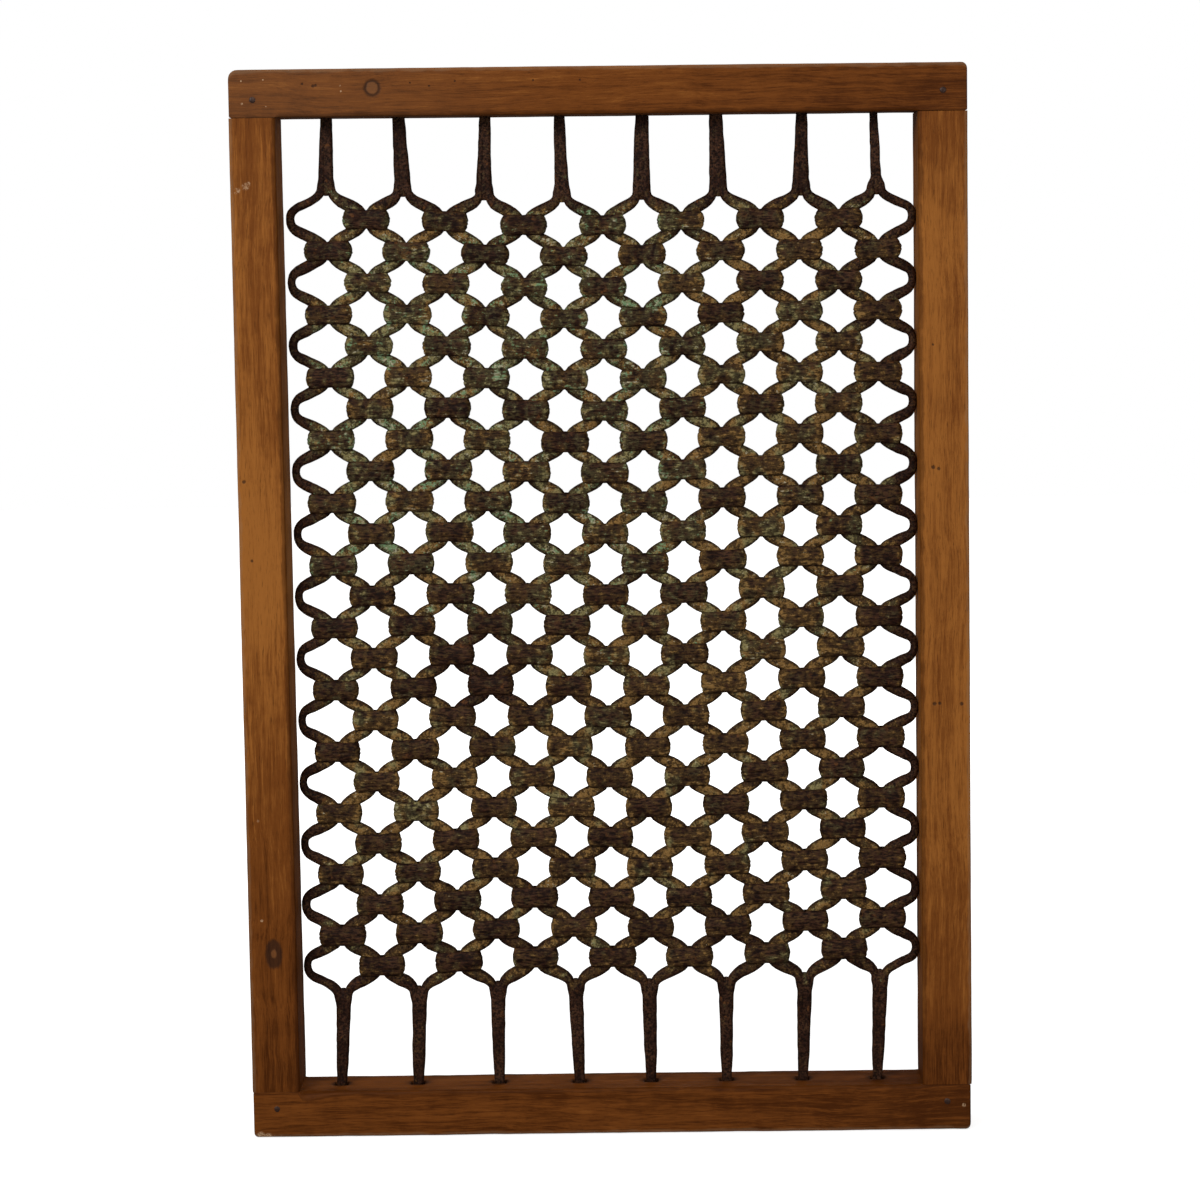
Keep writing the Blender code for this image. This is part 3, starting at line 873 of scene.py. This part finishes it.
# filled holes and chips: across, up, radius
PALE_SPECKS = [
    (-0.2940, 0.8912, 0.0007), (-0.2758, 0.8917, 0.0006), (-0.2936, 0.8724, 0.0009),
    (-0.2123, 0.8862, 0.0006), (-0.2118, 0.8816, 0.0008), (-0.2740, 0.8700, 0.0004),
    (-0.2951, 0.2729, 0.0010), (-0.2939, 0.1872, 0.0011), (0.2991, 0.0211, 0.0015),
    (-0.2990, 0.0015, 0.0032), (-0.2930, 0.0005, 0.0030),
]
SCRAPES = [
    (-0.2995, 0.8010, 0.0026), (-0.2925, 0.8045, 0.0028), (-0.2900, 0.8065, 0.0018),
]
# the brightest part of the left stile's grain
GOLDEN_STREAK = (-0.277, FRONT, 0.490)
GOLDEN_REACH = 0.130
# across, up, radius and how squat it is
PLUG = (-0.1859, 0.8839, 0.0060, 1.0)
KNOT = (-0.2844, 0.1587, 0.0060, 0.55)


def spots(place, marks, softness=0.35):
    """1 inside the small round marks on the front, 0 elsewhere."""
    ragged = place.noise(700.0, 2.0) * 0.0012
    found = None
    for across, height, radius in marks:
        near = place.distance((across, FRONT, height)) + ragged - 0.0006
        spot = 1.0 - near.rise(radius * (1 - softness), radius * (1 + softness))
        found = spot if found is None else found.most(spot)
    return found


# how light each member is along its length, from its left or lower end, as (share, tone)
MEMBER_TONES = {
    "top_rail": [(0.0, 0.31), (0.25, 0.38), (0.5, 0.47), (0.78, 0.34), (0.93, 0.21), (1.0, 0.19)],
    "bottom_rail": [(0.0, 0.31), (0.3, 0.28), (0.6, 0.22), (0.85, 0.10), (1.0, 0.02)],
    "left_stile": [(0.0, 0.12), (0.1, 0.25), (0.26, 0.46), (0.34, 0.56), (0.42, 0.74),
                   (0.52, 0.78), (0.62, 0.80), (0.76, 0.72), (0.88, 0.72), (0.97, 0.52)],
    "right_stile": [(0.0, 0.10), (0.08, 0.20), (0.13, 0.60), (0.23, 0.66), (0.31, 0.88),
                    (0.46, 0.80), (0.61, 0.88), (0.76, 0.84), (0.84, 0.94), (0.93, 0.56),
                    (1.0, 0.48)],
}


def outer_half(place, member):
    """1 on the half of a member that is away from the grille, and 0 on the other half."""
    middle = (MEMBERS[member][0] + MEMBERS[member][1]) / 2
    axis, level = ("Z", middle.z) if member.endswith("rail") else ("X", middle.x)
    half = place.part(axis).rise(level - 0.005, level + 0.005)
    return half if member in ("top_rail", "right_stile") else 1.0 - half


def wood_finish(member, colours, along):
    """Old oiled hardwood. Along is 0 where the grain runs across and 2 where it runs up."""
    material, field, shader = new_finish("oiled_wood_" + member, 0.5, 0.0, 0.07)
    place = field.place()
    stretch = [1.0, 1.0, 1.0]
    stretch[along] = 0.042
    sway = place.noise(7.0, 2.0) * 0.014
    bend = field.node("ShaderNodeCombineXYZ", None, {0: sway, 1: sway, 2: sway})
    grain = place.moved(bend).scaled(tuple(stretch))
    broad = grain.noise(70.0, 3.0, 0.55)
    streaks = grain.noise(330.0, 4.0, 0.62)
    fibres = grain.moved((7.0, 2.0, 5.0)).noise(1150.0, 3.0, 0.65)
    pores = grain.moved((4.0, 4.0, 4.0)).noise(1900.0, 2.0, 0.6)
    mottled = place.noise(60.0, 5.0, 0.65)
    if along == 2:
        share = place.part("Z") * (1 / TOP_RAIL[1].z)
    else:
        share = (place.part("X") - TOP_RAIL[0].x) * (1 / (TOP_RAIL[1].x - TOP_RAIL[0].x))
    tone = share.level(MEMBER_TONES[member]) + 0.75 * (broad - 0.5) + 1.05 * (streaks - 0.5)
    tone = tone + 0.95 * (fibres - 0.5) + 0.50 * (mottled - 0.5)
    if member == "left_stile":
        golden = place.distance(GOLDEN_STREAK).rise(0.0, GOLDEN_REACH)
        tone = tone + 0.34 * (1.0 - golden)
    lower = tone.rise(-0.10, 0.50).mix(colours.dark, colours.middle)
    surface = tone.rise(0.42, 1.10).mix(lower, colours.light)
    arris = field.attribute("arris")
    stain = field.attribute("stain")
    # the arrises broken up by noise: painted shade on the grille's side, painted highlight on the
    # outer side
    rubbed = (arris + 0.9 * (place.noise(70.0, 4.0) - 0.5)).rise(0.62, 1.05)
    outer = rubbed * outer_half(place, member)
    speck = spots(place, PALE_SPECKS) * place.noise(900.0, 2.0).rise(0.34, 0.58)
    scraped = spots(place, SCRAPES) * place.noise(420.0, 3.0, 0.7).rise(0.40, 0.62)
    holes = spots(place, NAIL_HOLES)
    across, up, radius, squat = PLUG if along == 0 else KNOT
    near = place.scaled((1.0, 1.0, squat)).distance((across, FRONT, up * squat))
    near = near + place.noise(300.0, 2.0) * 0.0016 - 0.0008
    eye = 1.0 - near.rise(radius * (squat - 0.2), radius * (squat - 0.05))
    ring = near.rise(radius * (squat - 0.34), radius * (squat - 0.08))
    ring = ring * (1.0 - near.rise(radius * 0.98, radius * 1.4))
    coats = [
        (pores.rise(0.58, 0.70) * 0.55, dimmed(colours.dark, 0.6)),
        # painted shade on the arrises on the grille's side, then a painted highlight on the outer
        # arrises
        (rubbed * 0.55 - outer * 0.50, dimmed(colours.dark, 0.75)),
        (outer * 0.22, dimmed(colours.pale, 0.55)),
        (stain * 0.9, colours.stain),
        (speck * 0.75, colours.pale),
        (scraped * 0.62, colours.pale),
        (holes * 0.72, colours.stain),
        (eye * 0.5, colours.plug),
        (ring * 0.70, colours.stain),
    ]
    if member == "top_rail":
        coats.insert(3, (0.10 - 0.10 * share.rise(0.05, 0.50), dimmed(colours.pale, 0.45)))
    for cover, colour in coats:
        surface = cover.mix(surface, colour)
    feed(shader, "Base Color", surface)
    feed(shader, "Roughness", 0.38 + 0.26 * streaks + 0.15 * stain)
    relief = 0.5 * streaks + 0.3 * fibres - 0.3 * pores - 0.8 * holes - 0.5 * ring
    feed(shader, "Normal", relief.bump(0.55, 0.0007))
    return material


def end_inset(distance, radius):
    """How far a face falls back at a distance from a rounded end."""
    inside = np.clip(radius - distance, 0.0, radius)
    return radius - np.sqrt(np.maximum(radius ** 2 - inside ** 2, 0.0))


# sections of a member: their spacing, how near two may stand, how far and how closely they stand
# round a foot, and the depth of a foot's hole
STATION_STEP = 0.0042
NEAREST_STATIONS = 0.00009
FOOT_REACH = 0.0086
FOOT_STEP = 0.0010
FOOT_HOLE = 0.0040


def member_stations(start, end, feet, end_radius, corners):
    """Where a member's sections stand: closer at its feet, its ends and its worn corners."""
    stations = list(np.arange(start, end, STATION_STEP)) + [end]
    for foot in feet:
        stations += list(np.arange(foot - FOOT_REACH + 0.0001, foot + FOOT_REACH, FOOT_STEP))
    for share in (0.08, 0.2, 0.4, 0.7, 1.0):
        stations += [start + share * end_radius, end - share * end_radius]
    for share in (0.05, 0.13, 0.25, 0.4, 0.6, 0.8):
        stations += [start + share * corners[0], end - share * corners[1]]
    stations = np.unique(np.round(stations, 6))
    return stations[np.append(True, np.diff(stations) > NEAREST_STATIONS)]


def member_limits(stations, span, cross, settings):
    """The low and high corner of each section: the first cross axis and the depth."""
    from_start, from_end = stations - span[0], span[1] - stations
    inset = end_inset(from_start, settings["end_radius"])
    inset = inset + end_inset(from_end, settings["end_radius"])
    share = from_start / (span[1] - span[0])
    low, high = [np.stack((limit + run[0] + (run[1] - run[0]) * share,
                           np.full(len(stations), face)), 1)
                 for limit, run, face in zip(cross, settings["runs"], (FRONT, BACK))]
    low += inset[:, None]
    high -= inset[:, None]
    outer = settings.get("outer", 0)
    if outer:
        corners = settings["corners"]
        fall = end_inset(from_start, corners[0]) + end_inset(from_end, corners[1])
        worn = high if outer > 0 else low
        worn[:, 0] -= outer * np.maximum(fall - inset, 0)
    return low, high


def member_radii(stations, settings, sizes):
    """How round each of the four long edges is at each section."""
    seed = settings["seed"]
    radii = np.zeros((len(stations), 4))
    for corner in range(4):
        along = np.stack((stations, np.full(len(stations), corner), np.full(len(stations), 0)), 1)
        worn = 1 + 0.55 * grain_of(along, (24.0, 1, 1), seed)
        worn = worn + 0.35 * grain_of(along, (95.0, 1, 1), seed + 3)
        radii[:, corner] = sizes.arris * np.clip(worn, 0.35, 2.2)
    for corner, middle, width, extra in settings["worn"]:
        radii[:, corner] += extra * np.exp(-((stations - middle) / width) ** 2)
    over_stile = soft_step(np.abs(stations), HALF_OPENING - 0.001, HALF_OPENING + 0.002)
    for corner in settings["inner_corners"]:
        radii[:, corner] *= 1.35
        if settings["feet"]:
            radii[:, corner] += (0.0002 - radii[:, corner]) * over_stile
    return radii


def foot_marks(points, outward, settings):
    """The holes that the feet stand in, and the dark smear round them."""
    hole, smear = np.zeros((2, len(points)))
    for foot in settings["feet"]:
        on_face = np.abs(outward[:, 2] - settings["inner"]) < 0.1
        across = np.abs(points[:, 0] - foot)
        depth = np.abs(points[:, 1])
        one = (1 - soft_step(across, 0.0048, 0.0060)) * (1 - soft_step(depth, 0.0052, 0.0064))
        hole = hole + one * on_face
        near = 1 - soft_step(np.hypot(across, depth), 0.0062, 0.0120)
        smear = np.maximum(smear, np.maximum(near * 0.8, one) * on_face)
    return hole, smear


def build_member(name, axis, span, cross, settings, sizes, material):
    """A worn frame member along X, axis 0, or Z, axis 2.

    Span is its two ends, and cross the limits of its other axis. Settings hold its feet, the runs
    of its two sides, worn places, inner corners, end radius and seed, and a rail's outer side.
    """
    feet = settings["feet"]
    stations = member_stations(*span, feet, settings["end_radius"],
                               settings.get("corners", (0.0, 0.0)))
    low, high = member_limits(stations, span, cross, settings)
    flat, deep = even_shares(9), even_shares(11)
    if feet:
        deep = sorted(deep[:3] + deep[-3:] + [0.5 + offset * 0.022 for offset in range(-8, 9)])
    first, second, out_first, out_second, arris = rounded_loop(
        low, high, member_radii(stations, settings, sizes), (flat, deep, flat, deep))
    rings, sides = first.shape
    length = np.repeat(stations[:, None], sides, axis=1)
    points = [length, second, first]
    outward = [length * 0, out_second, out_first]
    if axis == 2:
        points.reverse()
        outward.reverse()
    points = np.stack(points, axis=2).reshape(-1, 3)
    outward = np.stack(outward, axis=2).reshape(-1, 3)
    scale = [45.0, 45.0, 45.0]
    scale[axis] = 9.0
    waves = grain_of(points, scale, settings["seed"]) + 0.5 * grain_of(points, 60.0, 2.0)
    hole, smear = foot_marks(points, outward, settings)
    sink = -sizes.waviness * (waves + 0.25) - FOOT_HOLE * hole
    points = points + outward * sink[:, None]
    faces = capped_faces(rings, sides)
    if axis == 2:
        faces = [face[::-1] for face in faces]
    marks = {"arris": arris.reshape(-1), "stain": smear}
    return new_piece("worn_" + name, points, faces, material, name, marks)


# how far the top rail's underside falls to the right, and the gap between a stile and a rail
TOP_RAIL_DROP = 0.0024
JOINT_GAP = 0.00008


class JALI_OT_frame(Operator):
    """Builds the two rails and the two stiles with their worn edges"""
    bl_idname = "jali.frame"
    bl_label = "Wooden frame"

    def execute(self, context):
        sizes = context.scene.jali_frame
        colours = context.scene.jali_wood
        corner = sizes.corner
        rails = (
            ("top_rail", TOP, (1.5 * corner, corner), [], (1, 2),
             ((0, -TOP_RAIL_DROP), (0.0005, -0.0018))),
            ("bottom_rail", BOTTOM, (0.75 * corner, 0.9 * corner),
             [(3, -0.262, 0.022, 0.0030)], (0, 3), ((0, 0), (0, 0))),
        )
        for seed, (name, end, radii, worn, inner_corners, runs) in enumerate(rails):
            low, high = MEMBERS[name]
            settings = {"feet": [foot_x(stem, end) for stem in range(STEM_COUNT)], "inner": -end,
                        "outer": end, "corners": radii, "end_radius": 0.0016, "worn": worn,
                        "runs": runs, "seed": 1.0 + seed, "inner_corners": inner_corners}
            build_member(name, 0, (low.x, high.x), (low.z, high.z), settings, sizes,
                         wood_finish(name, colours, 0))
        stiles = (
            ("left_stile", 0.0, (0, 3), ((-0.0006, -0.0003), (0.0, -0.0021))),
            ("right_stile", TOP_RAIL_DROP, (1, 2), ((-0.0006, -0.0008), (0.0011, 0.0001))),
        )
        for seed, (name, below, inner_corners, runs) in enumerate(stiles):
            low, high = MEMBERS[name]
            settings = {"feet": [], "end_radius": 0.00018, "worn": [], "runs": runs,
                        "seed": 3.0 + seed, "inner_corners": inner_corners}
            span = (OPENING_BOTTOM + JOINT_GAP, OPENING_TOP - JOINT_GAP - below)
            build_member(name, 2, span, (low.x, high.x), settings, sizes,
                         wood_finish(name, colours, 2))
        return {"FINISHED"}


PIN_CORNERS = ("top_left", "top_right", "bottom_left", "bottom_right")
PIN_SIDES = 28
# radius and depth behind the frame's face of each ring of a pin's hammered head
PIN_HEAD = [(0.0010, -0.00042), (0.0018, -0.00032), (0.0025, -0.00012), (0.0029, 0.00025),
            (0.0030, 0.0008), (0.0030, 0.0020)]


class JALI_OT_pins(Operator):
    """Builds the hammered iron pins of the four corner joints"""
    bl_idname = "jali.pins"
    bl_label = "Corner pins"

    def execute(self, context):
        material = pin_finish("pin_iron", context.scene.jali_iron)
        turn = -np.arange(PIN_SIDES) / PIN_SIDES * 2 * pi
        for number, corner in enumerate(PIN_CORNERS):
            low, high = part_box("pin_" + corner)
            middle = (low + high) / 2
            depth = high.y - FRONT
            rings = PIN_HEAD + [(0.0030, depth - 0.001), (0.0022, depth)]
            points = np.concatenate([
                np.stack((middle.x + radius * np.cos(turn), np.full(PIN_SIDES, FRONT + sink),
                          middle.z + radius * np.sin(turn)), axis=1)
                for radius, sink in rings])
            dents = grain_of(points, 420.0, 3.0 * number)
            points[:, 1] += 0.00022 * dents
            points[:, 0] += 0.00012 * dents
            new_piece("hammered_pin_" + corner, points, capped_faces(len(rings), PIN_SIDES),
                      material, "pin_" + corner, {})
        return {"FINISHED"}


class JALI_OT_bars(Operator):
    """Builds the eight pairs of zigzag bars with their welded stems"""
    bl_idname = "jali.bars"
    bl_label = "Zigzag bars"

    def execute(self, context):
        material = iron_finish("forged_iron_bars", context.scene.jali_iron, (0.8, 0.8, 1.0))
        for stem in range(STEM_COUNT):
            build_bars(stem, context.scene.jali_grille, material)
        return {"FINISHED"}


class JALI_OT_collars(Operator):
    """Builds the ribbed collars that bind the bars"""
    bl_idname = "jali.collars"
    bl_label = "Collars"

    def execute(self, context):
        material = iron_finish("forged_iron_collars", context.scene.jali_iron, (0.26, 0.5, 1.0))
        for stem in range(STEM_COUNT):
            build_collars(stem, context.scene.jali_grille, material)
        return {"FINISHED"}


def floor_finish(name, colour):
    """A pale matt floor that glows, dimmer near the window and brighter away from it into the white
    background.
    """
    material, field, shader = new_finish(name, 0.9, 0.0, 0.1)
    shader.inputs["Base Color"].default_value = opaque(colour)
    shader.inputs["Emission Strength"].default_value = 1.0
    away = field.place().distance((0.0, 0.0, 0.0)).rise(0.2, 2.0)
    feed(shader, "Emission Color", away.mix((0.74, 0.74, 0.74), (1.0, 1.0, 1.0)))
    return material


def add_light(name, size, power, place):
    data = bpy.data.lights.new(name, "AREA")
    data.shape = "RECTANGLE"
    data.size, data.size_y = size
    data.energy = power
    lamp = bpy.data.objects.new(name, data)
    bpy.context.scene.collection.objects.link(lamp)
    lamp.location = place
    lamp.rotation_euler = (Vector(LIT_PLACE) - Vector(place)).to_track_quat("-Z", "Y").to_euler()
    return lamp


# the floor, a little below the sill, and what the lights point at
FLOOR_REACH = 7.0
FLOOR_DROP = 0.0006
LIT_PLACE = (0.0, 0.0, 0.47)
AIR_COLOUR = (1.0, 0.97, 0.93, 1.0)

# the camera, worked out from the frame's edges in the photograph
LENS = 105.0
SENSOR = 36.0
CAMERA_PLACE = (0.028, -2.944, 0.761)
CAMERA_PITCH = radians(-5.963)
CAMERA_YAW = radians(0.626)
CAMERA_ROLL = radians(0.832)


class JALI_OT_stage(Operator):
    """Builds the pale floor, the soft lights and the camera"""
    bl_idname = "jali.stage"
    bl_label = "Studio"

    def execute(self, context):
        scene = context.scene
        settings = scene.jali_stage
        mesh = bpy.data.meshes.new("floor")
        corners = [(-1, -1), (1, -1), (1, 1), (-1, 1)]
        mesh.from_pydata([(FLOOR_REACH * x, FLOOR_REACH * y, 0) for x, y in corners], [],
                         [(0, 1, 2, 3)])
        mesh.materials.append(floor_finish("pale_floor", settings.floor))
        floor = bpy.data.objects.new("floor", mesh)
        floor.location.z = -FLOOR_DROP
        floor.visible_diffuse = False
        floor.visible_glossy = False
        scene.collection.objects.link(floor)
        for name, size, power, place, glossy in (
                ("key_light", (1.4, 1.2), settings.key, (-1.6, -2.5, 2.1), True),
                ("fill_light", (1.6, 1.6), settings.key * 0.28, (1.5, -3.0, 0.9), True),
                ("top_light", (1.8, 1.2), settings.top, (0.0, 0.1, 2.6), False),
                ("back_light", (1.8, 1.2), settings.key * 0.4, (0.6, 3.0, 1.7), False)):
            add_light(name, size, power, place).visible_glossy = glossy
        world = bpy.data.worlds.new("studio_air")
        scene.world = world
        world.use_nodes = True
        world.node_tree.nodes.clear()
        air = Field(world.node_tree)
        white, soft, dim = [
            air.node("ShaderNodeBackground", None, {"Color": tint, "Strength": strength})
            for tint, strength in (((1, 1, 1, 1), 1.0), (AIR_COLOUR, settings.ambient),
                                   (AIR_COLOUR, settings.ambient * 0.2))]
        mirrored = air.node("ShaderNodeLightPath", output="Is Glossy Ray")
        around = air.node("ShaderNodeMixShader", None, {0: mirrored, 1: soft, 2: dim})
        seen = air.node("ShaderNodeLightPath", output="Is Camera Ray")
        mixed = air.node("ShaderNodeMixShader", None, {0: seen, 1: around, 2: white})
        surface = world.node_tree.nodes.new("ShaderNodeOutputWorld").inputs["Surface"]
        world.node_tree.links.new(mixed.socket, surface)
        scene.view_settings.view_transform = "Standard"
        data = bpy.data.cameras.new("camera")
        data.lens = LENS
        data.sensor_width = SENSOR
        camera = bpy.data.objects.new("camera", data)
        scene.collection.objects.link(camera)
        camera.matrix_world = (Matrix.Translation(CAMERA_PLACE)
                               @ Matrix.Rotation(CAMERA_YAW, 4, "Z")
                               @ Matrix.Rotation(CAMERA_PITCH, 4, "X")
                               @ Matrix.Rotation(CAMERA_ROLL, 4, "Y")
                               @ Matrix.Rotation(pi / 2, 4, "X"))
        scene.camera = camera
        return {"FINISHED"}


class JALI_PT_panel(Panel):
    """Lists the window's steps"""
    bl_idname = "JALI_PT_panel"
    bl_label = "Jali window"
    bl_space_type = "VIEW_3D"
    bl_region_type = "UI"
    bl_category = "Jali window"

    def draw(self, context):
        for operator in OPERATORS:
            self.layout.operator(operator.bl_idname)


GROUPS = {
    "jali_frame": FrameSizes,
    "jali_grille": GrilleSizes,
    "jali_wood": WoodColours,
    "jali_iron": IronColours,
    "jali_stage": StageSettings,
}
OPERATORS = (JALI_OT_frame, JALI_OT_pins, JALI_OT_bars, JALI_OT_collars, JALI_OT_stage)
CLASSES = (*GROUPS.values(), *OPERATORS, JALI_PT_panel)


def register():
    for kind in CLASSES:
        bpy.utils.register_class(kind)
    for name, group in GROUPS.items():
        setattr(bpy.types.Scene, name, PointerProperty(type=group))


def unregister():
    for name in GROUPS:
        delattr(bpy.types.Scene, name)
    for kind in reversed(CLASSES):
        bpy.utils.unregister_class(kind)


def main():
    register()
    bpy.ops.jali.frame()
    bpy.ops.jali.pins()
    bpy.ops.jali.bars()
    bpy.ops.jali.collars()
    bpy.ops.jali.stage()


if __name__ == "__main__":
    main()
